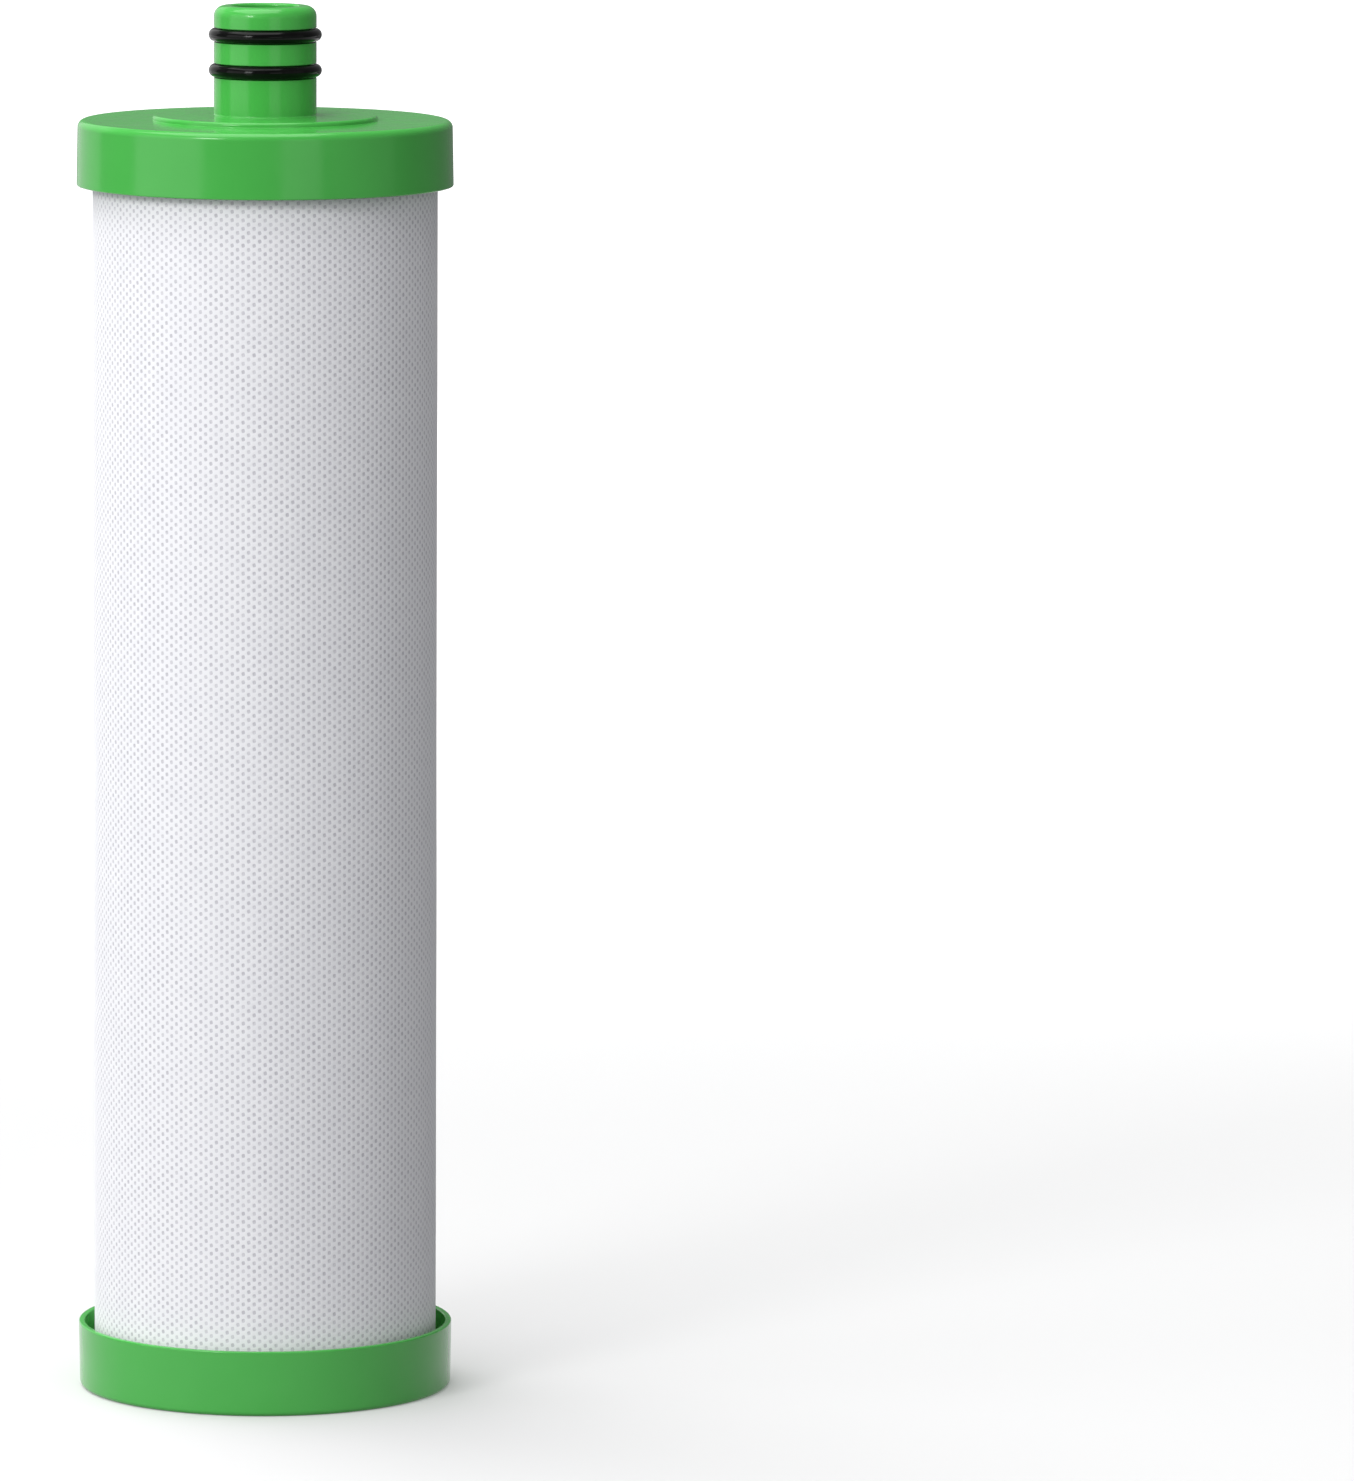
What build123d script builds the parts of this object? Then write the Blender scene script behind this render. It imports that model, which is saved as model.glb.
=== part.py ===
from build123d import *
from math import degrees
import os

# Drop-in water filter cartridge, in millimetres.
# It stands on its bottom end cap. +Z is up, the origin is on the axis at the base,
# and the front of the cartridge faces -Y. Water enters through the wrap and the carbon
# and leaves through the bore of the spigot, which plugs into a filter head.

# ---------------------------------------------------------------- driving dimensions

# overall
BODY_LENGTH = 238.0         # base of the bottom end cap to the flat top of the top end cap
CAP_OD = 70.0               # both end caps, measured at the open edge of the rim

# end caps
CAP_RIM_HEIGHT = 12.2       # outside height of each cup
CAP_RIM_WALL = 1.15         # thickness of the rim at its open edge
CAP_DRAFT_ANGLE = 1.0       # the rim narrows towards the closed end
CAP_RIM_GAP = 1.8           # clear ring between the rim and the wrap
CAP_RIM_ROUND = 0.3         # rounding of the open edge
TOP_CAP_PLATE = 2.5         # thickness of the top cap's flat end
TOP_CAP_EDGE_ROUND = 1.35
BOTTOM_CAP_PLATE = 2.4
BOTTOM_CAP_EDGE_ROUND = 0.9
FOOT_RING_WIDTH = 7.0       # flat ring that the cartridge stands on
FOOT_RECESS_DEPTH = 0.6     # shallow recess inside that ring
GATE_DIMPLE_R = 3.0         # moulding gate in the middle of the recess
GATE_DIMPLE_DEPTH = 0.5

# spigot on the top cap
BOSS_OD = 41.8              # raised round pad at the foot of the spigot
BOSS_HEIGHT = 0.9
BOSS_EDGE_ROUND = 0.6
SPIGOT_OD = 19.0
SPIGOT_HEIGHT = 20.3        # above the pad
SPIGOT_SHOULDER_ROUND = 1.95
SPIGOT_FOOT_ROUND = 0.3
SPIGOT_BORE_R = 6.2
BORE_MOUTH_ROUND = 0.5

# O-rings and their glands
O_RING_SECTION = 2.4
O_RING_PROUD = 1.0          # how far a fitted ring stands out of the spigot
O_RING_BEDDING = 0.1        # flattening of the ring on the gland floor
GLAND_SIDE_CLEARANCE = 0.15  # each side of the ring
UPPER_RING_DROP = 5.4       # top of the spigot to the middle of the upper ring
O_RING_SPACING = 6.6

# centring collars inside the caps, which plug into the core tube
COLLAR_LENGTH = 8.0
COLLAR_CLEARANCE = 0.2      # radial, in the core tube
COLLAR_LEAD_IN = 0.6
BOTTOM_COLLAR_WALL = 2.0

# media pack, from the axis outwards
CORE_TUBE_OD = 22.0
CORE_TUBE_WALL = 2.0
CORE_HOLE_R = 2.0
CORE_HOLE_PITCH = 12.0      # along the tube
CORE_HOLE_COLUMNS = 6
CORE_END_MARGIN = 12.0      # no holes this close to the ends, where the collars sit
CORE_SLEEVE_THICKNESS = 0.6
PREFILTER_THICKNESS = 2.8
WRAP_THICKNESS = 0.4

# lap seam of the wrap, at the back
SEAM_ANGLE = 100.0          # middle of the overlap, from +X towards +Y
SEAM_LAP_WIDTH = 8.0        # width of the overlap
SEAM_BEAD_WIDTH = 5.0
SEAM_BEAD_THICKNESS = 0.15

# hot-melt bonds between the media pack and the caps
BOND_THICKNESS = 1.2
BOND_OVERHANG = 0.5         # past the wrap
BOND_EDGE_ROUND = 0.4

# ------------------------------------------------------------------ derived dimensions

cap_r = CAP_OD / 2
cap_inner_r = cap_r - CAP_RIM_WALL
wrap_r = cap_inner_r - CAP_RIM_GAP
prefilter_r = wrap_r - WRAP_THICKNESS
block_r = prefilter_r - PREFILTER_THICKNESS
core_tube_r = CORE_TUBE_OD / 2
core_inner_r = core_tube_r - CORE_TUBE_WALL
block_bore_r = core_tube_r + CORE_SLEEVE_THICKNESS
collar_r = core_inner_r - COLLAR_CLEARANCE
bond_r = wrap_r + BOND_OVERHANG

top_rim_z = BODY_LENGTH - CAP_RIM_HEIGHT
top_plate_z = BODY_LENGTH - TOP_CAP_PLATE
media_bottom_z = BOTTOM_CAP_PLATE + BOND_THICKNESS
media_top_z = top_plate_z - BOND_THICKNESS
media_length = media_top_z - media_bottom_z

boss_top_z = BODY_LENGTH + BOSS_HEIGHT
spigot_r = SPIGOT_OD / 2
spigot_wall = spigot_r - SPIGOT_BORE_R
shoulder_round = min(SPIGOT_SHOULDER_ROUND, 0.6 * spigot_wall)
mouth_round = min(BORE_MOUTH_ROUND, 0.25 * spigot_wall)
spigot_top_z = boss_top_z + SPIGOT_HEIGHT
gland_floor_r = spigot_r + O_RING_PROUD + O_RING_BEDDING - O_RING_SECTION
gland_width = O_RING_SECTION + 2 * GLAND_SIDE_CLEARANCE
upper_ring_z = spigot_top_z - UPPER_RING_DROP
lower_ring_z = upper_ring_z - O_RING_SPACING

lap_inner_r = wrap_r + SEAM_BEAD_THICKNESS
lap_outer_r = lap_inner_r + WRAP_THICKNESS
lap_span = degrees(SEAM_LAP_WIDTH / wrap_r)
bead_span = degrees(SEAM_BEAD_WIDTH / wrap_r)
lap_start = SEAM_ANGLE - lap_span / 2
fold_span = degrees(WRAP_THICKNESS / wrap_r)


def tube(outer_r, inner_r, low_z, length):
    """A plain tube about the axis."""
    with BuildPart() as made:
        with BuildSketch(Plane.XY.offset(low_z)):
            Circle(outer_r)
            Circle(inner_r, mode=Mode.SUBTRACT)
        extrude(amount=length)
    return made.part


def arc_shell(outer_r, inner_r, start, span):
    """A strip of a tube over the media pack's length, from one angle through a span."""
    with BuildPart() as made:
        with BuildSketch(Plane.XY.offset(media_bottom_z)):
            with BuildLine():
                outer = CenterArc((0, 0), outer_r, start, span)
                inner = CenterArc((0, 0), inner_r, start, span)
                Line(outer @ 0, inner @ 0)
                Line(outer @ 1, inner @ 1)
            make_face()
        extrude(amount=media_length)
    return made.part


def circle_edges(part, radius, z):
    """The circular edges of a part that have this radius and height."""
    return part.edges().filter_by(GeomType.CIRCLE).filter_by(
        lambda edge: abs(edge.radius - radius) < 0.01 and abs(edge.arc_center.Z - z) < 0.01
    )


def finish(part, name):
    """Label a finished piece and write its STEP."""
    part.label = name
    export_step(part, f"parts/{name}.step")


os.makedirs("parts", exist_ok=True)

# ------------------------------------------------------------------------ top end cap
# One moulding: a shallow cup, open downwards, with a pad and a bored spigot on top
# and a centring collar underneath.

with BuildPart() as top_end_cap:
    with BuildSketch(Plane.XY.offset(top_rim_z)):
        Circle(cap_r)
    extrude(amount=CAP_RIM_HEIGHT, taper=CAP_DRAFT_ANGLE)
    fillet(top_end_cap.edges().sort_by(Axis.Z)[-1], TOP_CAP_EDGE_ROUND)
    with BuildSketch(Plane.XY.offset(top_rim_z)):
        Circle(cap_inner_r)
    extrude(amount=CAP_RIM_HEIGHT - TOP_CAP_PLATE, taper=CAP_DRAFT_ANGLE, mode=Mode.SUBTRACT)
    fillet(top_end_cap.edges().group_by(Axis.Z)[0], CAP_RIM_ROUND)

    # the pad
    with BuildSketch(Plane.XY.offset(BODY_LENGTH)):
        Circle(BOSS_OD / 2)
    extrude(amount=BOSS_HEIGHT)
    fillet(circle_edges(top_end_cap, BOSS_OD / 2, boss_top_z), BOSS_EDGE_ROUND)

    # the spigot, with a rounded shoulder and foot
    with BuildSketch(Plane.XY.offset(boss_top_z)):
        Circle(spigot_r)
    extrude(amount=SPIGOT_HEIGHT)
    fillet(circle_edges(top_end_cap, spigot_r, spigot_top_z), shoulder_round)
    fillet(circle_edges(top_end_cap, spigot_r, boss_top_z), SPIGOT_FOOT_ROUND)

    # two square glands for the O-rings
    for ring_z in (upper_ring_z, lower_ring_z):
        with BuildSketch(Plane.XY.offset(ring_z)):
            Circle(spigot_r + O_RING_PROUD)
            Circle(gland_floor_r, mode=Mode.SUBTRACT)
        extrude(amount=gland_width / 2, both=True, mode=Mode.SUBTRACT)

    # the collar underneath, with a lead-in
    with BuildSketch(Plane.XY.offset(top_plate_z)):
        Circle(collar_r)
    extrude(amount=-COLLAR_LENGTH)
    chamfer(circle_edges(top_end_cap, collar_r, top_plate_z - COLLAR_LENGTH), COLLAR_LEAD_IN)

    # the outlet bore, from the top of the spigot to the end of the collar
    with BuildSketch(Plane.XY.offset(spigot_top_z)):
        Circle(SPIGOT_BORE_R)
    extrude(amount=-(spigot_top_z - top_plate_z + COLLAR_LENGTH), mode=Mode.SUBTRACT)
    fillet(circle_edges(top_end_cap, SPIGOT_BORE_R, spigot_top_z), mouth_round)
finish(top_end_cap.part, "top_end_cap")

# --------------------------------------------------------------------- bottom end cap
# A shallow cup, open upwards, with a foot ring below and a centring collar inside.

with BuildPart() as bottom_end_cap:
    with BuildSketch(Plane.XY.offset(CAP_RIM_HEIGHT)):
        Circle(cap_r)
    extrude(amount=-CAP_RIM_HEIGHT, taper=CAP_DRAFT_ANGLE)
    fillet(bottom_end_cap.edges().sort_by(Axis.Z)[0], BOTTOM_CAP_EDGE_ROUND)
    with BuildSketch(Plane.XY.offset(CAP_RIM_HEIGHT)):
        Circle(cap_inner_r)
    extrude(amount=-(CAP_RIM_HEIGHT - BOTTOM_CAP_PLATE), taper=CAP_DRAFT_ANGLE, mode=Mode.SUBTRACT)
    fillet(bottom_end_cap.edges().group_by(Axis.Z)[-1], CAP_RIM_ROUND)

    # the collar that closes and centres the core tube
    with BuildSketch(Plane.XY.offset(BOTTOM_CAP_PLATE)):
        Circle(collar_r)
        Circle(collar_r - BOTTOM_COLLAR_WALL, mode=Mode.SUBTRACT)
    extrude(amount=COLLAR_LENGTH)
    chamfer(circle_edges(bottom_end_cap, collar_r, BOTTOM_CAP_PLATE + COLLAR_LENGTH), COLLAR_LEAD_IN)

    # the recess inside the foot ring, and the gate dimple in its middle
    with BuildSketch(Plane.XY):
        Circle(cap_r - FOOT_RING_WIDTH)
    extrude(amount=FOOT_RECESS_DEPTH, mode=Mode.SUBTRACT)
    with BuildSketch(Plane.XY.offset(FOOT_RECESS_DEPTH)):
        Circle(GATE_DIMPLE_R)
    extrude(amount=GATE_DIMPLE_DEPTH, mode=Mode.SUBTRACT)
finish(bottom_end_cap.part, "bottom_end_cap")

# --------------------------------------------------------------------------- O-rings
# A fitted ring is a round section, bedded flat where it grips the gland floor.

ring_centre_r = spigot_r + O_RING_PROUD - O_RING_SECTION / 2
for ring_name, ring_z in (("upper_o_ring", upper_ring_z), ("lower_o_ring", lower_ring_z)):
    with BuildPart() as o_ring:
        with BuildSketch(Plane.XZ):
            with Locations((ring_centre_r, ring_z)):
                Circle(O_RING_SECTION / 2)
            with Locations((gland_floor_r, ring_z)):
                Rectangle(
                    O_RING_SECTION, O_RING_SECTION, align=(Align.MAX, Align.CENTER), mode=Mode.SUBTRACT
                )
        revolve(axis=Axis.Z)
    finish(o_ring.part, ring_name)

# ------------------------------------------------------------------------- media pack
# The core tube is a moulded tube with staggered rows of holes through its wall.

with BuildPart() as core_tube:
    add(tube(core_tube_r, core_inner_r, media_bottom_z, media_length))
    hole_rows = int((media_length - 2 * CORE_END_MARGIN) // CORE_HOLE_PITCH)
    for column in range(CORE_HOLE_COLUMNS):
        stagger = (column % 2 - 0.5) * CORE_HOLE_PITCH / 2
        side = Plane.XZ.rotated((0, 0, column * 360 / CORE_HOLE_COLUMNS))
        with BuildSketch(side):
            with Locations((0, media_bottom_z + media_length / 2 + stagger)):
                with GridLocations(0, CORE_HOLE_PITCH, 1, hole_rows):
                    Circle(CORE_HOLE_R)
        extrude(amount=core_tube_r, mode=Mode.SUBTRACT)
finish(core_tube.part, "core_tube")

# Soft fines barrier between the core tube and the carbon.
with BuildPart() as core_sleeve:
    add(tube(block_bore_r, core_tube_r, media_bottom_z, media_length))
finish(core_sleeve.part, "core_sleeve")

# Pressed activated carbon.
with BuildPart() as carbon_block:
    add(tube(block_r, block_bore_r, media_bottom_z, media_length))
finish(carbon_block.part, "carbon_block")

# Melt-blown sediment layer wound on the carbon.
with BuildPart() as prefilter_wrap:
    add(tube(prefilter_r, block_r, media_bottom_z, media_length))
finish(prefilter_wrap.part, "prefilter_wrap")

# Outer non-woven wrap: once round, stepping up over its own start to form the lap.
with BuildPart() as outer_wrap:
    add(tube(wrap_r, prefilter_r, media_bottom_z, media_length))
    add(arc_shell(lap_outer_r, lap_inner_r, lap_start, lap_span))
    add(arc_shell(lap_outer_r, wrap_r - WRAP_THICKNESS / 2, lap_start - fold_span, fold_span))
finish(outer_wrap.part, "outer_wrap")

# Adhesive bead that holds the lap down.
with BuildPart() as wrap_seam_bead:
    add(arc_shell(lap_inner_r, wrap_r, SEAM_ANGLE - bead_span / 2, bead_span))
finish(wrap_seam_bead.part, "wrap_seam_bead")

# ------------------------------------------------------------------------ hot-melt bonds
# Each bond is a washer between the media pack's end and a cap, around the collar,
# with its visible outer edge rounded.

with BuildPart() as top_bond_ring:
    add(tube(bond_r, collar_r, media_top_z, BOND_THICKNESS))
    fillet(circle_edges(top_bond_ring, bond_r, media_top_z), BOND_EDGE_ROUND)
finish(top_bond_ring.part, "top_bond_ring")

with BuildPart() as bottom_bond_ring:
    add(tube(bond_r, collar_r, BOTTOM_CAP_PLATE, BOND_THICKNESS))
    fillet(circle_edges(bottom_bond_ring, bond_r, media_bottom_z), BOND_EDGE_ROUND)
finish(bottom_bond_ring.part, "bottom_bond_ring")
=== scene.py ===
"""Looks for the drop-in water filter cartridge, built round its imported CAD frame.

Everything is in metres, in the frame's own axes: +Z up, the front towards -Y.
"""
import math
import random

import bpy
import numpy as np
from mathutils import Euler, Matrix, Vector


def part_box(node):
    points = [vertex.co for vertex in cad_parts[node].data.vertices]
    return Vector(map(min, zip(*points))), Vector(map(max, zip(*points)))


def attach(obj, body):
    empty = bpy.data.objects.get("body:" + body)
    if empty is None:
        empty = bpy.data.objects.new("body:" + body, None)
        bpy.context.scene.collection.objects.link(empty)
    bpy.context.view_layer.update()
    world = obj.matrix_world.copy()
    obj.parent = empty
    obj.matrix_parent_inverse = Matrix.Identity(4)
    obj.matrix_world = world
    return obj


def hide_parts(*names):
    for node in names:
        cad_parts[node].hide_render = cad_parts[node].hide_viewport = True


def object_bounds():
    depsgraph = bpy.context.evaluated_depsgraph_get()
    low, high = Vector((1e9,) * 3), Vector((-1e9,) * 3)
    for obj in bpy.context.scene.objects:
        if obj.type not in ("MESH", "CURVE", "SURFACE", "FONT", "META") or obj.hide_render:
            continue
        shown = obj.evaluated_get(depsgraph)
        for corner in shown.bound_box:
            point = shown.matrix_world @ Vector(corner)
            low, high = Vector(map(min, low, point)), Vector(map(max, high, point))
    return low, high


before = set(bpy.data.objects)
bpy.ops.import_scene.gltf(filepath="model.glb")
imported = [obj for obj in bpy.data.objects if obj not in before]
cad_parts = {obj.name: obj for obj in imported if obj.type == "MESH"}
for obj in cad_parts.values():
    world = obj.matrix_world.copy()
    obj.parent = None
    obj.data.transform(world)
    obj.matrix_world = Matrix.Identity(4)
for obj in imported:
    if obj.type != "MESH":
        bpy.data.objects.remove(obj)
CAD_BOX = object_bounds()
MM = 0.001

# ------------------------------------------------------------------ sizes from the frame

TOP_LOW, TOP_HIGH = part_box("top_end_cap")
BASE_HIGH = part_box("bottom_end_cap")[1]
FLEECE_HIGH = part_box("prefilter_wrap")[1]
WRAP_LOW, WRAP_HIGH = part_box("outer_wrap")
TUBE_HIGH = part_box("core_tube")[1]

WRAP_R = WRAP_HIGH.x
WRAP_THICKNESS = WRAP_R - FLEECE_HIGH.x
CAP_R = 35.0 * MM

# end caps, as in the CAD part
DRAFT = math.tan(math.radians(1.0))
RIM_WALL = 1.15 * MM
RIM_ROUND = 0.3 * MM
TOP_PLATE = 2.5 * MM
TOP_EDGE_ROUND = 1.35 * MM
BASE_PLATE = 2.4 * MM
BASE_EDGE_ROUND = 0.9 * MM
FOOT_RING_WIDTH = 7.0 * MM
FOOT_RECESS = 0.6 * MM
GATE_R = 3.0 * MM
GATE_DEPTH = 0.5 * MM
PAD_R = 20.9 * MM
PAD_HEIGHT = 0.9 * MM
PAD_ROUND = 0.6 * MM
SPIGOT_R = 9.5 * MM
SPIGOT_HEIGHT = 20.3 * MM
SHOULDER_ROUND = 1.95 * MM
FOOT_ROUND = 0.3 * MM
BORE_R = 6.2 * MM
MOUTH_ROUND = 0.5 * MM
RING_SECTION_R = 1.2 * MM
RING_PROUD = 1.0 * MM
RING_BEDDING = 0.1 * MM
GLAND_HALF_WIDTH = 1.35 * MM
COLLAR_LENGTH = 8.0 * MM
COLLAR_CLEARANCE = 0.2 * MM
COLLAR_LEAD_IN = 0.6 * MM
COLLAR_WALL = 2.0 * MM
TUBE_WALL = 2.0 * MM

# details that only the visual pieces have, and small roundings
CREASE_ROUND = 0.1 * MM
SPLIT_LINE_HEIGHT = 0.03 * MM
GATE_NUB_R = 0.8 * MM
GATE_NUB_HEIGHT = 0.2 * MM
FLASH_HEIGHT = 0.02 * MM
GLUE_EDGE_ROUND = 0.45 * MM
GLUE_SWELL = 0.07 * MM
WRAP_SLACK = 0.025 * MM

PLATE_Z = TOP_HIGH.z - SPIGOT_HEIGHT - PAD_HEIGHT
RIM_HEIGHT = BASE_HIGH.z
COLLAR_R = TUBE_HIGH.x - TUBE_WALL - COLLAR_CLEARANCE

# the wrap's lap, at the back
SEAM_ANGLE = math.radians(100.0)
LAP_WIDTH = 8.0 * MM
LAP_STEP = 0.55 * MM
LAP_RAMP = 1.2 * MM

# the wrap's pattern of pressed dots: a centred lattice
DOT_PITCH_AROUND = 2.03 * MM
DOT_PITCH_ALONG = 1.553 * MM
DOT_R = 0.29 * MM
DOT_DEPTH = 0.08 * MM


# ----------------------------------------------------------------------- mesh building

def arc_corner(before, corner, after, radius, step=math.radians(11)):
    """Points of the arc that rounds a corner of an outline."""
    a = Vector(before) - Vector(corner)
    b = Vector(after) - Vector(corner)
    a.normalize()
    b.normalize()
    half = a.angle(b) / 2
    reach = radius / math.tan(half)
    centre = Vector(corner) + (a + b).normalized() * (radius / math.sin(half))
    start = Vector(corner) + a * reach - centre
    turn = start.angle_signed(Vector(corner) + b * reach - centre)
    count = max(2, math.ceil(abs(turn) / step))
    points = []
    for i in range(count + 1):
        t = -turn * i / count
        x = start.x * math.cos(t) - start.y * math.sin(t)
        y = start.x * math.sin(t) + start.y * math.cos(t)
        points.append((centre.x + x, centre.y + y))
    return points


def rounded_outline(corners, closed, hold=0.12 * MM):
    """An outline of (radius, height) points from corners given as (radius, height, rounding).

    Each long straight gets a point close to its ends, so that shading stays flat along it.
    """
    groups = []
    count = len(corners)
    for i, (r, z, rounding) in enumerate(corners):
        ends = not closed and i in (0, count - 1)
        if rounding == 0 or ends:
            groups.append([(r, z)])
        else:
            before = corners[i - 1][:2]
            after = corners[(i + 1) % count][:2]
            groups.append(arc_corner(before, (r, z), after, rounding))
    outline = []
    for i, group in enumerate(groups):
        outline += group
        if i == count - 1 and not closed:
            break
        p = Vector(group[-1])
        q = Vector(groups[(i + 1) % count][0])
        run = q - p
        if run.length > 4 * hold:
            outline.append(tuple(p + run.normalized() * hold))
            outline.append(tuple(q - run.normalized() * hold))
    return outline


def mesh_object(name, verts, faces, sharp_angle=math.radians(38)):
    """A smooth-shaded mesh object, with its edges over an angle kept sharp."""
    mesh = bpy.data.meshes.new(name)
    mesh.from_pydata([tuple(v) for v in verts], [], faces)
    mesh.validate()
    mesh.shade_smooth()
    mesh.set_sharp_from_angle(angle=sharp_angle)
    made = bpy.data.objects.new(name, mesh)
    bpy.context.scene.collection.objects.link(made)
    return made


def turned(name, outline, closed, segments=256, shape=None):
    """A mesh turned about the axis from an outline whose order has the solid on its left.

    shape(r, z, angle) may give back a changed (r, z). An open outline ends on the axis.
    """
    angles = [2 * math.pi * k / segments for k in range(segments)]
    verts = []
    index = []
    for r, z in outline:
        if r < 1e-9:
            verts.append((0, 0, z))
            index.append([len(verts) - 1] * segments)
            continue
        first = len(verts)
        for angle in angles:
            rr, zz = shape(r, z, angle) if shape else (r, z)
            verts.append((rr * math.cos(angle), rr * math.sin(angle), zz))
        index.append(list(range(first, first + segments)))
    faces = []
    rows = len(outline)
    for i in range(rows if closed else rows - 1):
        low, high = index[i], index[(i + 1) % rows]
        for k in range(segments):
            j = (k + 1) % segments
            ring = [low[k], low[j], high[j], high[k]]
            face = list(dict.fromkeys(ring))
            faces.append(face)
    return mesh_object(name, verts, faces)


# ------------------------------------------------------------------------ shader helper

class Shader:
    """Builds one material's nodes. Lengths in it are in metres, from Object coordinates."""

    def __init__(self, name):
        self.material = bpy.data.materials.new(name)
        self.material.use_nodes = True
        self.tree = self.material.node_tree
        self.tree.nodes.clear()
        self.output = self.tree.nodes.new("ShaderNodeOutputMaterial")
        self.surface = self.tree.nodes.new("ShaderNodeBsdfPrincipled")
        self.link(self.surface.outputs["BSDF"], self.output.inputs["Surface"])
        self.place = self.tree.nodes.new("ShaderNodeTexCoord").outputs["Object"]

    def link(self, source, target):
        self.tree.links.new(source, target)

    def set(self, **values):
        for name, value in values.items():
            self.surface.inputs[name.replace("_", " ")].default_value = value

    def scaled(self, x, y, z):
        """Object coordinates stretched by a factor along each axis."""
        node = self.tree.nodes.new("ShaderNodeMapping")
        self.link(self.place, node.inputs["Vector"])
        node.inputs["Scale"].default_value = (x, y, z)
        return node.outputs["Vector"]

    def noise(self, size, detail=2.0, place=None, roughness=0.5, distortion=0.0, kind="FBM"):
        """Noise whose features are about size metres across, from 0 to 1."""
        node = self.tree.nodes.new("ShaderNodeTexNoise")
        node.noise_type = kind
        self.link(place or self.place, node.inputs["Vector"])
        node.inputs["Scale"].default_value = 1.0 / size
        node.inputs["Detail"].default_value = detail
        node.inputs["Roughness"].default_value = roughness
        node.inputs["Distortion"].default_value = distortion
        return node.outputs["Fac"]

    def cells(self, size):
        """Distance field of cells about size metres across."""
        node = self.tree.nodes.new("ShaderNodeTexVoronoi")
        self.link(self.place, node.inputs["Vector"])
        node.inputs["Scale"].default_value = 1.0 / size
        return node.outputs["Distance"]

    def attribute(self, name):
        node = self.tree.nodes.new("ShaderNodeAttribute")
        node.attribute_name = name
        return node.outputs["Fac"]

    def maths(self, operation, a, b):
        node = self.tree.nodes.new("ShaderNodeMath")
        node.operation = operation
        for slot, value in ((0, a), (1, b)):
            if isinstance(value, (int, float)):
                node.inputs[slot].default_value = value
            else:
                self.link(value, node.inputs[slot])
        return node.outputs[0]

    def span(self, value, low, high, to_low, to_high):
        """A value's stretch from low to high, mapped on to another stretch and clamped."""
        node = self.tree.nodes.new("ShaderNodeMapRange")
        node.interpolation_type = "SMOOTHSTEP"
        self.link(value, node.inputs["Value"])
        node.inputs["From Min"].default_value = low
        node.inputs["From Max"].default_value = high
        node.inputs["To Min"].default_value = to_low
        node.inputs["To Max"].default_value = to_high
        return node.outputs["Result"]

    def colours(self, value, *stops):
        """A colour ramp: each stop is (position, (r, g, b))."""
        node = self.tree.nodes.new("ShaderNodeValToRGB")
        self.link(value, node.inputs["Fac"])
        ramp = node.color_ramp
        while len(ramp.elements) < len(stops):
            ramp.elements.new(0.5)
        for element, (position, colour) in zip(ramp.elements, stops):
            element.position = position
            element.color = (*colour, 1.0)
        return node.outputs["Color"]

    def mixed(self, share, a, b):
        """Two colours mixed by a share: numbers, colours or outputs of other nodes."""
        node = self.tree.nodes.new("ShaderNodeMix")
        node.data_type = "RGBA"
        for target, value in zip((node.inputs[0], node.inputs[6], node.inputs[7]), (share, a, b)):
            if isinstance(value, (int, float)):
                target.default_value = value
            elif isinstance(value, tuple):
                target.default_value = (*value, 1.0)
            else:
                self.link(value, target)
        return node.outputs[2]

    def bump(self, height, distance):
        """A bump of that height in metres."""
        node = self.tree.nodes.new("ShaderNodeBump")
        self.link(height, node.inputs["Height"])
        node.inputs["Distance"].default_value = distance
        return node.outputs["Normal"]

    def use(self, **sources):
        for name, source in sources.items():
            self.link(source, self.surface.inputs[name.replace("_", " ")])


# --------------------------------------------------------------------------- materials

def cap_plastic():
    """Glossy green polypropylene: slight orange peel, and a faint haze that comes and goes."""
    s = Shader("cap_plastic")
    clouds = s.noise(14 * MM, detail=3)
    s.use(Base_Color=s.colours(clouds, (0.3, (0.057, 0.400, 0.061)), (0.7, (0.062, 0.420, 0.066))))
    haze = s.noise(3 * MM, detail=4)
    s.use(Roughness=s.span(haze, 0.35, 0.65, 0.15, 0.20))
    peel = s.noise(2.4 * MM, detail=1)
    s.use(Normal=s.bump(peel, 0.0012 * MM))
    s.set(IOR=1.49, Specular_IOR_Level=0.43)
    return s.material


def seal_rubber():
    """Black rubber with a fine moulded grain and a faint dusty bloom."""
    s = Shader("seal_rubber")
    bloom = s.noise(2.5 * MM, detail=5)
    s.use(Base_Color=s.colours(bloom, (0.4, (0.002, 0.002, 0.002)), (0.75, (0.005, 0.005, 0.005))))
    s.use(Roughness=s.span(bloom, 0.3, 0.7, 0.09, 0.15))
    s.use(Normal=s.bump(s.noise(0.12 * MM, detail=3), 0.0008 * MM))
    s.set(IOR=1.52, Specular_IOR_Level=0.13)
    return s.material


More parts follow.
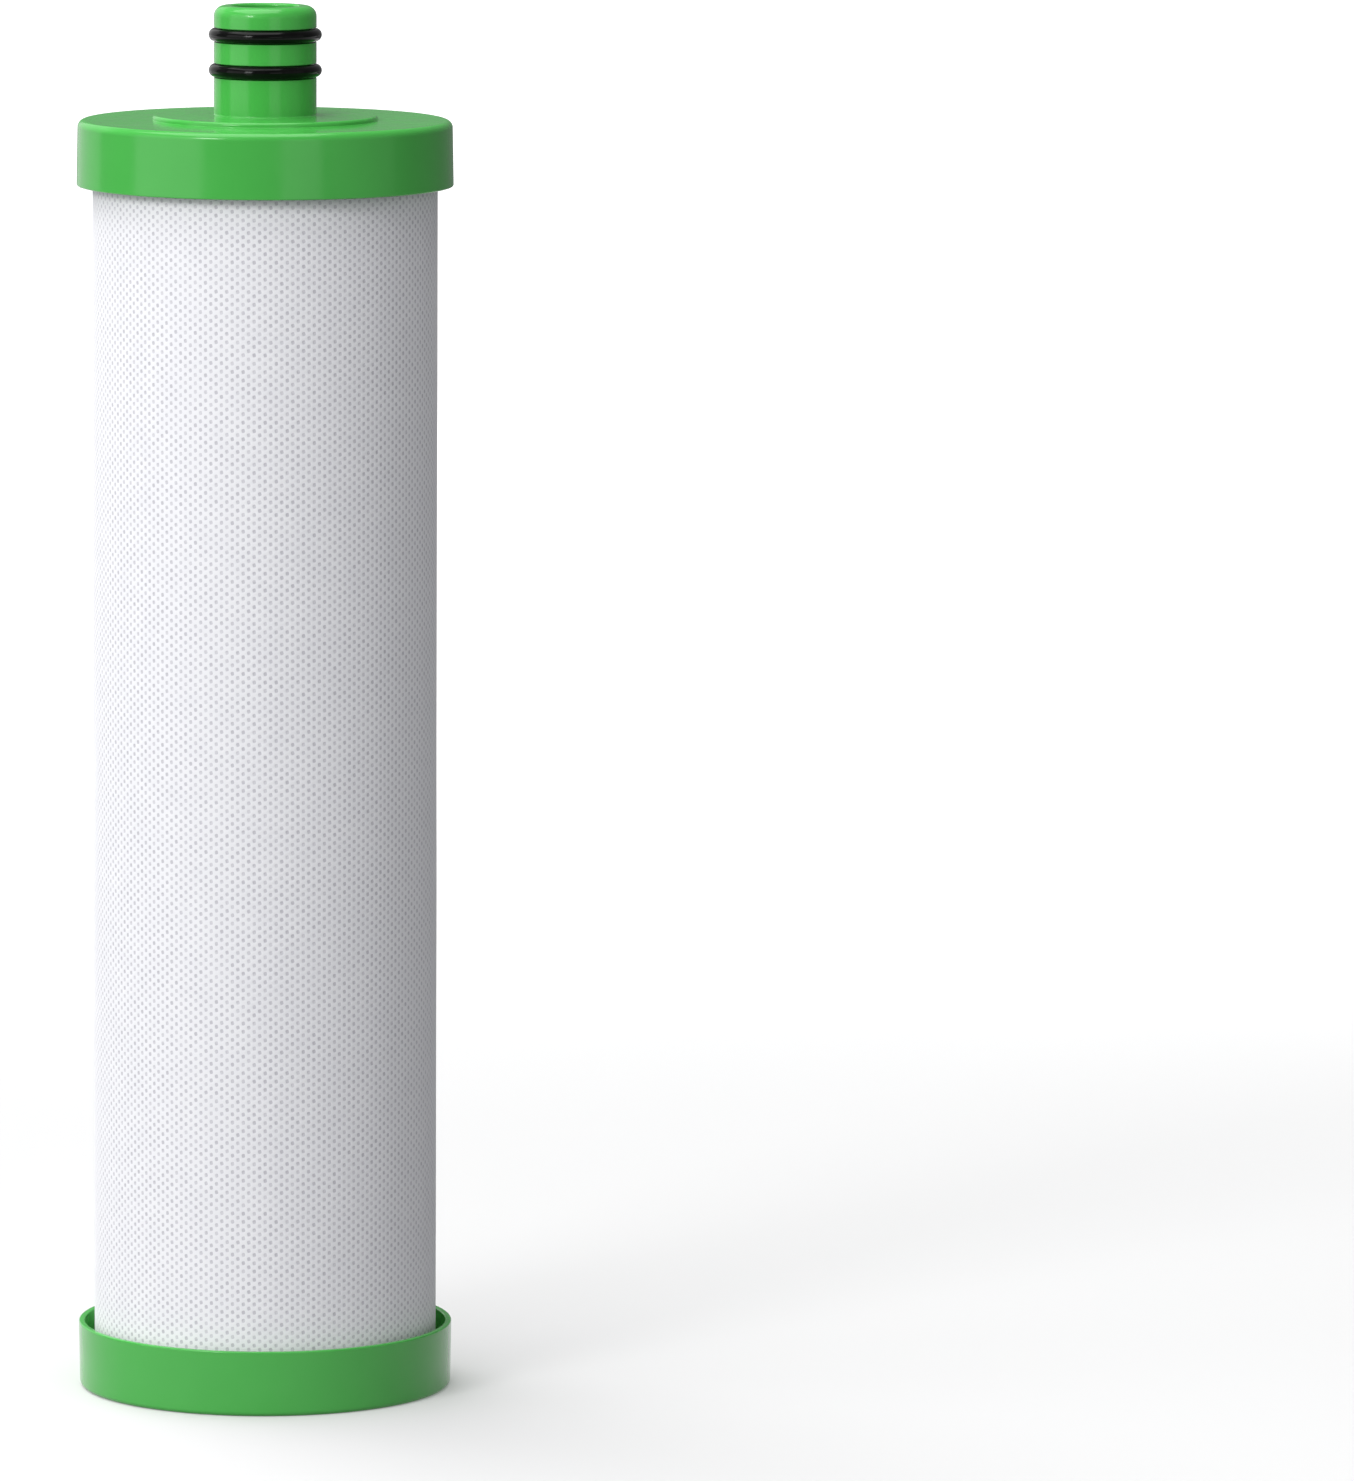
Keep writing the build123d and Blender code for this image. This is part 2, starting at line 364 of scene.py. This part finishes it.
def wrap_nonwoven():
    """White spunbond: matted fine fibres, with smoother, slightly grey pressed dots."""
    s = Shader("wrap_nonwoven")
    pressed = s.span(s.attribute("emboss"), 0.72, 0.92, 0, 1)
    fibres = s.noise(0.16 * MM, detail=5, roughness=0.65, distortion=1.2, kind="RIDGED_MULTIFRACTAL")
    density = s.noise(5 * MM, detail=4, roughness=0.6)
    cloth = s.colours(density, (0.3, (0.835, 0.838, 0.872)), (0.7, (0.868, 0.870, 0.898)))
    strands = s.mixed(s.span(fibres, 0.2, 0.9, 0.0, 0.12), cloth, (0.62, 0.62, 0.66))
    uneven = s.span(s.noise(1.3 * MM, detail=2), 0.35, 0.65, 0.62, 1.0)
    s.use(Base_Color=s.mixed(s.maths("MULTIPLY", pressed, uneven), strands, (0.55, 0.54, 0.59)))
    s.use(Roughness=s.span(pressed, 0, 1, 0.85, 0.5))
    s.use(Normal=s.bump(fibres, 0.02 * MM))
    s.set(Sheen_Weight=0.15, Sheen_Roughness=0.5)
    return s.material


def prefilter_fleece():
    """Off-white melt-blown fleece."""
    s = Shader("prefilter_fleece")
    tufts = s.noise(0.5 * MM, detail=5, distortion=0.8)
    s.use(Base_Color=s.colours(tufts, (0.3, (0.70, 0.70, 0.67)), (0.7, (0.83, 0.83, 0.81))))
    s.use(Normal=s.bump(tufts, 0.08 * MM))
    s.set(Roughness=0.9)
    return s.material


def pressed_carbon():
    """Pressed carbon grains."""
    s = Shader("pressed_carbon")
    grains = s.cells(0.35 * MM)
    s.use(Base_Color=s.colours(grains, (0.1, (0.028, 0.028, 0.030)), (0.6, (0.008, 0.008, 0.009))))
    s.use(Roughness=s.span(s.noise(0.8 * MM), 0.3, 0.7, 0.55, 0.9))
    s.use(Normal=s.bump(grains, -0.08 * MM))
    return s.material


def core_plastic():
    """Natural polypropylene, milky and slightly uneven."""
    s = Shader("core_plastic")
    flow = s.noise(6 * MM, detail=3, place=s.scaled(1, 1, 0.3))
    s.use(Base_Color=s.colours(flow, (0.3, (0.66, 0.66, 0.62)), (0.7, (0.76, 0.76, 0.73))))
    s.use(Roughness=s.span(s.noise(1.2 * MM), 0.3, 0.7, 0.35, 0.5))
    s.use(Normal=s.bump(s.noise(2 * MM), 0.01 * MM))
    return s.material


def hot_melt():
    """Cooled hot-melt adhesive: waxy, with slow ripples."""
    s = Shader("hot_melt")
    ripples = s.noise(3 * MM, detail=3, distortion=0.6)
    s.use(Base_Color=s.colours(ripples, (0.3, (0.60, 0.55, 0.42)), (0.7, (0.74, 0.70, 0.57))))
    s.use(Roughness=s.span(ripples, 0.3, 0.7, 0.3, 0.45))
    s.use(Normal=s.bump(ripples, 0.12 * MM))
    return s.material


def studio_floor():
    """Plain pale floor. It glows more with distance, so that it runs into the white backdrop."""
    s = Shader("studio_floor")
    paper = s.noise(0.5, detail=2)
    s.use(Base_Color=s.colours(paper, (0.3, (0.53, 0.53, 0.53)), (0.7, (0.55, 0.55, 0.55))))
    away = s.tree.nodes.new("ShaderNodeVectorMath")
    away.operation = "LENGTH"
    s.link(s.place, away.inputs[0])
    glow = s.span(away.outputs["Value"], GLOW_START_R, GLOW_END_R, FLOOR_GLOW_NEAR, FLOOR_GLOW_FAR)
    s.use(Emission_Strength=glow)
    s.set(Roughness=1.0, Specular_IOR_Level=0.0, Emission_Color=(1, 1, 1, 1))
    return s.material


# ------------------------------------------------------------------------------ pieces

def stands_for(piece, node, material):
    """The piece rides on the only body, replaces a CAD node and takes its finish."""
    piece.data.materials.append(material)
    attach(piece, "root")
    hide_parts(node)
    return piece


def top_cap():
    """The top cap's moulding, turned from its section, with faint split lines on the spigot."""
    rim_z = TOP_LOW.z
    inside_z = PLATE_Z - TOP_PLATE
    closed_r = CAP_R - RIM_HEIGHT * DRAFT
    inner_r = CAP_R - RIM_WALL
    inner_top_r = inner_r - (inside_z - rim_z) * DRAFT
    pad_z = PLATE_Z + PAD_HEIGHT
    top_z = TOP_HIGH.z
    floor_r = SPIGOT_R + RING_PROUD + RING_BEDDING - 2 * RING_SECTION_R
    collar_z = inside_z - COLLAR_LENGTH
    corners = [(CAP_R, rim_z, RIM_ROUND), (closed_r, PLATE_Z, TOP_EDGE_ROUND)]
    corners += [(PAD_R, PLATE_Z, CREASE_ROUND), (PAD_R, pad_z, PAD_ROUND)]
    corners += [(SPIGOT_R, pad_z, FOOT_ROUND)]
    for ring in ("lower_o_ring", "upper_o_ring"):
        low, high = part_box(ring)
        middle = (low.z + high.z) / 2
        gland_low = middle - GLAND_HALF_WIDTH
        gland_high = middle + GLAND_HALF_WIDTH
        corners += [(SPIGOT_R, gland_low, CREASE_ROUND), (floor_r, gland_low, CREASE_ROUND)]
        corners += [(floor_r, gland_high, CREASE_ROUND), (SPIGOT_R, gland_high, CREASE_ROUND)]
    corners += [(SPIGOT_R, top_z, SHOULDER_ROUND), (BORE_R, top_z, MOUTH_ROUND)]
    corners += [(BORE_R, collar_z, 0), (COLLAR_R - COLLAR_LEAD_IN, collar_z, 0)]
    corners += [(COLLAR_R, collar_z + COLLAR_LEAD_IN, 0), (COLLAR_R, inside_z, 0)]
    corners += [(inner_top_r, inside_z, 0), (inner_r, rim_z, RIM_ROUND)]

    def split_line(r, z, angle):
        """The two halves of the mould meet at the sides of the spigot."""
        at_side = abs(math.sin(angle)) < 0.001
        on_spigot = pad_z + FOOT_ROUND < z < top_z - 0.2 * MM and r > BORE_R + MOUTH_ROUND
        return (r + SPLIT_LINE_HEIGHT, z) if on_spigot and at_side else (r, z)

    outline = rounded_outline(corners, closed=True)
    return turned("top_end_cap_moulding", outline, closed=True, shape=split_line)


def bottom_cap():
    """The bottom cap's moulding, with its foot ring, recess and gate mark underneath."""
    rim_z = BASE_HIGH.z
    closed_r = CAP_R - RIM_HEIGHT * DRAFT
    inner_r = CAP_R - RIM_WALL
    inner_low_r = inner_r - (rim_z - BASE_PLATE) * DRAFT
    collar_z = BASE_PLATE + COLLAR_LENGTH
    recess_r = CAP_R - FOOT_RING_WIDTH
    gate_z = FOOT_RECESS + GATE_DEPTH
    nub_z = gate_z - GATE_NUB_HEIGHT
    corners = [(0, nub_z, 0), (GATE_NUB_R, nub_z, CREASE_ROUND)]
    corners += [(GATE_NUB_R + 0.1 * MM, gate_z, CREASE_ROUND), (GATE_R, gate_z, CREASE_ROUND)]
    corners += [(GATE_R, FOOT_RECESS, CREASE_ROUND), (recess_r, FOOT_RECESS, 0.2 * MM)]
    corners += [(recess_r, 0, 0.15 * MM), (closed_r, 0, BASE_EDGE_ROUND)]
    corners += [(CAP_R, rim_z, RIM_ROUND), (inner_r, rim_z, RIM_ROUND)]
    corners += [(inner_low_r, BASE_PLATE, 0.3 * MM), (COLLAR_R, BASE_PLATE, 0.2 * MM)]
    corners += [(COLLAR_R, collar_z - COLLAR_LEAD_IN, 0), (COLLAR_R - COLLAR_LEAD_IN, collar_z, 0)]
    bore_r = COLLAR_R - COLLAR_WALL
    corners += [(bore_r, collar_z, CREASE_ROUND), (bore_r, BASE_PLATE, 0.2 * MM)]
    corners += [(0, BASE_PLATE, 0)]
    outline = rounded_outline(corners, closed=False)
    return turned("bottom_end_cap_moulding", outline, closed=False)


def o_ring(node):
    """A fitted ring: a round section bedded on its gland floor, with a fine flash line."""
    low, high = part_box(node)
    middle_z = (low.z + high.z) / 2
    centre_r = SPIGOT_R + RING_PROUD - RING_SECTION_R
    floor_r = centre_r - RING_SECTION_R + RING_BEDDING
    outline = []
    for degrees in [*range(0, 3), *range(4, 356, 8), 358, 359]:
        angle = math.radians(degrees)
        reach = RING_SECTION_R + FLASH_HEIGHT * math.exp(-((math.remainder(degrees, 360) / 1.2) ** 2))
        r = max(centre_r + reach * math.cos(angle), floor_r) - (FLASH_HEIGHT if degrees == 0 else 0)
        outline.append((r, middle_z + reach * math.sin(angle)))
    return turned(node + "_seal", outline, closed=True, segments=160)


def bond(node, edge_up, seed):
    """A washer of hot-melt whose outer edge has crept out unevenly before it set."""
    low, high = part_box(node)
    rng = random.Random(seed)
    waves = [(k, rng.uniform(-1, 1), rng.uniform(0, 2 * math.pi)) for k in (3, 5, 8, 13, 21)]
    round_low = 0 if edge_up else GLUE_EDGE_ROUND
    round_high = GLUE_EDGE_ROUND if edge_up else 0
    corners = [(COLLAR_R, low.z, 0), (high.x, low.z, round_low)]
    corners += [(high.x, high.z, round_high), (COLLAR_R, high.z, 0)]

    def crept(r, z, angle):
        if r < COLLAR_R + 1 * MM:
            return r, z
        swell = sum(share * math.sin(k * angle + start) for k, share, start in waves)
        return r + GLUE_SWELL * swell, z

    outline = rounded_outline(corners, closed=True)
    return turned(node + "_bead", outline, closed=True, segments=192, shape=crept)


def wrap_sheet():
    """The wrap as one sheet, once round and lapped over its own start, with pressed dots.

    The sheet is laid out flat, in columns half a pitch wide. Each column is a stack of bricks
    with one dot in each, and the next column is half a brick higher, which makes the lattice
    centred. A brick is eight faces between its border and the dot's eight-sided floor.
    """
    height = WRAP_HIGH.z - WRAP_LOW.z
    once_round = 2 * math.pi * WRAP_R
    length = once_round + LAP_WIDTH
    columns = round(length / (DOT_PITCH_AROUND / 2))
    rows = round(height / DOT_PITCH_ALONG)
    col_w = length / columns
    row_h = height / rows
    levels = 2 * rows + 1

    # vertices on the lines between columns, then on the middle line of each column
    line = np.arange((columns + 1) * levels).reshape(columns + 1, levels)
    line_s = np.repeat(np.arange(columns + 1) * col_w, levels)
    line_z = np.tile(np.arange(levels) * row_h / 2, columns + 1)
    middle = line.size + np.arange(columns * levels).reshape(columns, levels)
    middle_s = np.repeat((np.arange(columns) + 0.5) * col_w, levels)
    middle_z = np.tile(np.arange(levels) * row_h / 2, columns)

    # the level of each brick's lower edge, by column
    brick_col = []
    brick_low = []
    for c in range(columns):
        lows = np.arange(c % 2, levels - 2, 2)
        brick_col.append(np.full(len(lows), c))
        brick_low.append(lows)
    brick_col = np.concatenate(brick_col)
    brick_low = np.concatenate(brick_low)
    bricks = len(brick_col)

    # eight vertices round each dot's floor
    around = np.arange(8) * math.pi / 4
    floor = line.size + middle.size + np.arange(bricks * 8).reshape(bricks, 8)
    floor_s = ((brick_col + 0.5) * col_w)[:, None] + DOT_R * np.cos(around)
    floor_z = ((brick_low + 1) * row_h / 2)[:, None] + DOT_R * np.sin(around)

    border = np.stack([
        line[brick_col + 1, brick_low + 1],
        line[brick_col + 1, brick_low + 2],
        middle[brick_col, brick_low + 2],
        line[brick_col, brick_low + 2],
        line[brick_col, brick_low + 1],
        line[brick_col, brick_low],
        middle[brick_col, brick_low],
        line[brick_col + 1, brick_low],
    ], axis=1)
    walls = np.stack([border, np.roll(border, -1, 1), np.roll(floor, -1, 1), floor], axis=2).reshape(-1, 4)

    # half bricks at the ends of every second column have no dot
    odd = np.arange(1, columns, 2)
    halves = []
    for low in (0, levels - 2):
        high = low + 1
        left = [line[odd, low], middle[odd, low], middle[odd, high], line[odd, high]]
        right = [middle[odd, low], line[odd + 1, low], line[odd + 1, high], middle[odd, high]]
        halves += [np.stack(left, 1), np.stack(right, 1)]
    quads = np.concatenate([walls, *halves])

    # the inner face and the cut edges close the sheet
    inner_start = line.size + middle.size + floor.size
    inner_low = inner_start + np.arange(columns + 1)
    inner_high = inner_low + columns + 1
    inner_s = np.tile(np.arange(columns + 1) * col_w, 2)
    inner_z = np.repeat([0.0, height], columns + 1)
    back = np.stack([inner_low[1:], inner_low[:-1], inner_high[:-1], inner_high[1:]], 1)
    edge_low = np.stack([line[1:, 0], middle[:, 0], line[:-1, 0], inner_low[:-1], inner_low[1:]], 1)
    edge_high = np.stack([line[:-1, -1], middle[:, -1], line[1:, -1], inner_high[1:], inner_high[:-1]], 1)
    start_cut = [*line[0][::-1], inner_low[0], inner_high[0]]
    end_cut = [*line[-1], inner_high[-1], inner_low[-1]]

    # roll it up: distance along the sheet becomes an angle, and the lap steps over the start
    s = np.concatenate([line_s, middle_s, floor_s.ravel(), inner_s])
    z = np.concatenate([line_z, middle_z, floor_z.ravel(), inner_z])
    depth = np.zeros(len(s))
    depth[floor.ravel()] = DOT_DEPTH
    depth[inner_start:] = WRAP_THICKNESS - 0.01 * MM
    angle = SEAM_ANGLE - LAP_WIDTH / WRAP_R / 2 + s / WRAP_R
    ramp = np.clip((s - (once_round - LAP_RAMP)) / LAP_RAMP, 0, 1)
    step = LAP_STEP * ramp * ramp * (3 - 2 * ramp)
    radius = WRAP_R + step - depth + slack(angle, z / height) * np.sin(math.pi * z / height)
    xyz = np.stack([radius * np.cos(angle), radius * np.sin(angle), WRAP_LOW.z + z], 1)

    # used vertices only: a middle line has no vertex at the heart of a brick
    sizes = [4] * len(quads) + [8] * bricks + [5] * (2 * columns) + [4] * columns
    sizes += [len(start_cut), len(end_cut)]
    corners = np.concatenate([
        quads.ravel(), floor.ravel(), edge_low.ravel(), edge_high.ravel(), back.ravel(), start_cut, end_cut,
    ])
    used, corners = np.unique(corners, return_inverse=True)
    emboss = np.zeros(len(s))
    emboss[floor.ravel()] = 1.0
    return sheet_object("outer_wrap_sheet", xyz[used], corners, sizes, emboss[used]), length, height


def slack(angle, share):
    """Gentle unevenness of the wound wrap, in metres, up to about a twentieth of a millimetre."""
    swell = np.sin(3 * angle + 2.1 * share * math.pi + 0.4)
    swell += 0.7 * np.sin(5 * angle - 5.2 * share * math.pi + 1.9)
    swell += 0.5 * np.sin(2 * angle + 9.1 * share * math.pi + 3.3)
    return WRAP_SLACK * swell


def sheet_object(name, xyz, corners, sizes, emboss):
    """A mesh object from arrays, with the dots' share stored as a point attribute."""
    mesh = bpy.data.meshes.new(name)
    mesh.vertices.add(len(xyz))
    mesh.vertices.foreach_set("co", xyz.astype(np.float32).ravel())
    mesh.loops.add(len(corners))
    mesh.loops.foreach_set("vertex_index", corners.astype(np.int32))
    starts = np.concatenate([[0], np.cumsum(sizes)[:-1]])
    mesh.polygons.add(len(sizes))
    mesh.polygons.foreach_set("loop_start", starts.astype(np.int32))
    mesh.update(calc_edges=True)
    mesh.validate()
    mesh.shade_smooth()
    mesh.set_sharp_from_angle(angle=math.radians(60))
    mesh.attributes.new("emboss", "FLOAT", "POINT").data.foreach_set("value", emboss.astype(np.float32))
    made = bpy.data.objects.new(name, mesh)
    bpy.context.scene.collection.objects.link(made)
    return made


green = cap_plastic()
rubber = seal_rubber()
melt = hot_melt()
fleece = prefilter_fleece()

stands_for(top_cap(), "top_end_cap", green)
stands_for(bottom_cap(), "bottom_end_cap", green)
stands_for(o_ring("upper_o_ring"), "upper_o_ring", rubber)
stands_for(o_ring("lower_o_ring"), "lower_o_ring", rubber)
stands_for(bond("bottom_bond_ring", True, 4), "bottom_bond_ring", melt)
stands_for(bond("top_bond_ring", False, 9), "top_bond_ring", melt)
wrap, wrap_length, wrap_height = wrap_sheet()
stands_for(wrap, "outer_wrap", wrap_nonwoven())

kept = {
    "prefilter_wrap": fleece,
    "core_sleeve": fleece,
    "carbon_block": pressed_carbon(),
    "core_tube": core_plastic(),
    "wrap_seam_bead": melt,
}
for node, material in kept.items():
    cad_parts[node].data.materials.clear()
    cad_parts[node].data.materials.append(material)


# ------------------------------------------------------------------------ stage and light

FLOOR_NEAR_R = 0.9          # the part of the floor that glossy surfaces reflect
FLOOR_FAR_R = 7.0
GLOW_START_R = 0.25         # the floor's own glow grows between these two distances
GLOW_END_R = 1.4
FLOOR_GLOW_NEAR = 0.21
FLOOR_GLOW_FAR = 1.0
BACKDROP_R = 8.0
BACKDROP_GLOW = 1.05
AMBIENT = 0.22


def flat_ring(name, inner_r, outer_r, segments=128):
    """A flat ring or disc just under the cartridge."""
    z = CAD_BOX[0].z - 0.02 * MM
    turns = [2 * math.pi * k / segments for k in range(segments)]
    verts = [(outer_r * math.cos(t), outer_r * math.sin(t), z) for t in turns]
    if inner_r == 0:
        return mesh_object(name, verts, [tuple(range(segments))])
    verts += [(inner_r * math.cos(t), inner_r * math.sin(t), z) for t in turns]
    faces = []
    for k in range(segments):
        j = (k + 1) % segments
        faces.append((k, j, j + segments, k + segments))
    return mesh_object(name, verts, faces)


def stage():
    """A white floor that throws no light back up, and a white backdrop behind everything."""
    near = flat_ring("studio_floor", 0.0, FLOOR_NEAR_R)
    far = flat_ring("studio_floor_far", FLOOR_NEAR_R, FLOOR_FAR_R)
    paper = studio_floor()
    for floor in (near, far):
        floor.data.materials.append(paper)
        floor.visible_diffuse = False
    far.visible_glossy = False

    bpy.ops.mesh.primitive_uv_sphere_add(segments=48, ring_count=24, radius=BACKDROP_R)
    backdrop = bpy.context.object
    backdrop.name = "studio_backdrop"
    white = bpy.data.materials.new("studio_backdrop")
    white.use_nodes = True
    white.node_tree.nodes.clear()
    glow = white.node_tree.nodes.new("ShaderNodeEmission")
    glow.inputs["Strength"].default_value = BACKDROP_GLOW
    end = white.node_tree.nodes.new("ShaderNodeOutputMaterial")
    white.node_tree.links.new(glow.outputs[0], end.inputs["Surface"])
    backdrop.data.materials.append(white)
    for ray in ("diffuse", "glossy", "transmission", "shadow"):
        setattr(backdrop, "visible_" + ray, False)

    world = bpy.data.worlds.new("studio")
    bpy.context.scene.world = world
    world.use_nodes = True
    world.node_tree.nodes["Background"].inputs["Color"].default_value = (0.97, 0.98, 1.0, 1)
    world.node_tree.nodes["Background"].inputs["Strength"].default_value = AMBIENT


def softbox(name, azimuth, elevation, distance, width, height, brightness):
    """A rectangular light aimed at the cartridge's middle, as bright as white paper at 1.

    Azimuth is in degrees from the camera's side, positive to its right.
    """
    lamp = bpy.data.lights.new(name, "AREA")
    lamp.shape = "RECTANGLE"
    lamp.size = width
    lamp.size_y = height
    lamp.energy = brightness * math.pi * width * height
    made = bpy.data.objects.new(name, lamp)
    bpy.context.scene.collection.objects.link(made)
    a, e = math.radians(azimuth), math.radians(elevation)
    away = Vector((math.sin(a) * math.cos(e), -math.cos(a) * math.cos(e), math.sin(e)))
    made.location = Vector((0, 0, CAD_BOX[1].z / 2)) + away * distance
    made.rotation_mode = "QUATERNION"
    made.rotation_quaternion = away.to_track_quat("Z", "Y")


def dome(name, azimuth, elevation, spread, brightness):
    """Soft light from far away, without a reflection: at 1 it whitens what faces it."""
    lamp = bpy.data.lights.new(name, "SUN")
    lamp.angle = math.radians(spread)
    lamp.energy = brightness * math.pi
    made = bpy.data.objects.new(name, lamp)
    bpy.context.scene.collection.objects.link(made)
    a, e = math.radians(azimuth), math.radians(elevation)
    away = Vector((math.sin(a) * math.cos(e), -math.cos(a) * math.cos(e), math.sin(e)))
    made.rotation_mode = "QUATERNION"
    made.rotation_quaternion = away.to_track_quat("Z", "Y")
    made.visible_glossy = False


def lights():
    """Azimuth, elevation, distance, width, height and brightness of each softbox, then the domes."""
    softbox("key", -62, 6, 1.3, 1.15, 1.5, 1.2)
    softbox("rim", -144, 8, 1.4, 1.25, 1.5, 0.62)
    softbox("fill", 22, 4, 1.8, 0.8, 1.3, 0.8)
    softbox("side", 62, 6, 1.3, 1.1, 1.4, 0.2)
    softbox("glint", -36, 28, 1.3, 0.3, 0.28, 14.0)
    softbox("overhead", -80, 80, 1.3, 1.3, 1.3, 2.85)
    dome("left_dome", -95, 28, 45, 0.10)
    dome("front_dome", -24, 30, 45, 0.285)
    dome("back_dome", -150, 45, 45, 0.45)


# ------------------------------------------------------------------------------ camera

SENSOR = 36.0               # millimetres, on the frame's long side
LENS = 270.3                # millimetres
FRAME_ASPECT = 0.91425      # width over height
CAMERA_BACK = 2.062         # from the axis, level
CAMERA_HEIGHT = 0.3925
AIM_HEIGHT = 0.122
AXIS_LEFT_OF_CENTRE = 0.3067    # of the frame's width


def camera():
    """Looks slightly down at the cartridge, which stands left of the frame's middle.

    The camera is panned to the right and rolled so that the cartridge's axis stays upright.
    """
    data = bpy.data.cameras.new("camera")
    data.lens = LENS
    data.sensor_width = SENSOR
    made = bpy.data.objects.new("camera", data)
    bpy.context.scene.collection.objects.link(made)
    made.location = (0, -CAMERA_BACK, CAMERA_HEIGHT)
    pan = math.atan(AXIS_LEFT_OF_CENTRE * SENSOR * FRAME_ASPECT / LENS)
    pitch = math.atan((CAMERA_HEIGHT - AIM_HEIGHT) / CAMERA_BACK)
    roll = math.atan(math.tan(pitch) * math.sin(pan))
    turn = Euler((math.pi / 2 - pitch, 0, -pan), "XYZ").to_matrix()
    turn = turn @ Euler((0, 0, roll), "XYZ").to_matrix()
    made.rotation_mode = "QUATERNION"
    made.rotation_quaternion = turn.to_quaternion()
    data.clip_end = 50
    bpy.context.scene.camera = made


stage()
lights()
camera()
bpy.context.scene.view_settings.view_transform = "Standard"
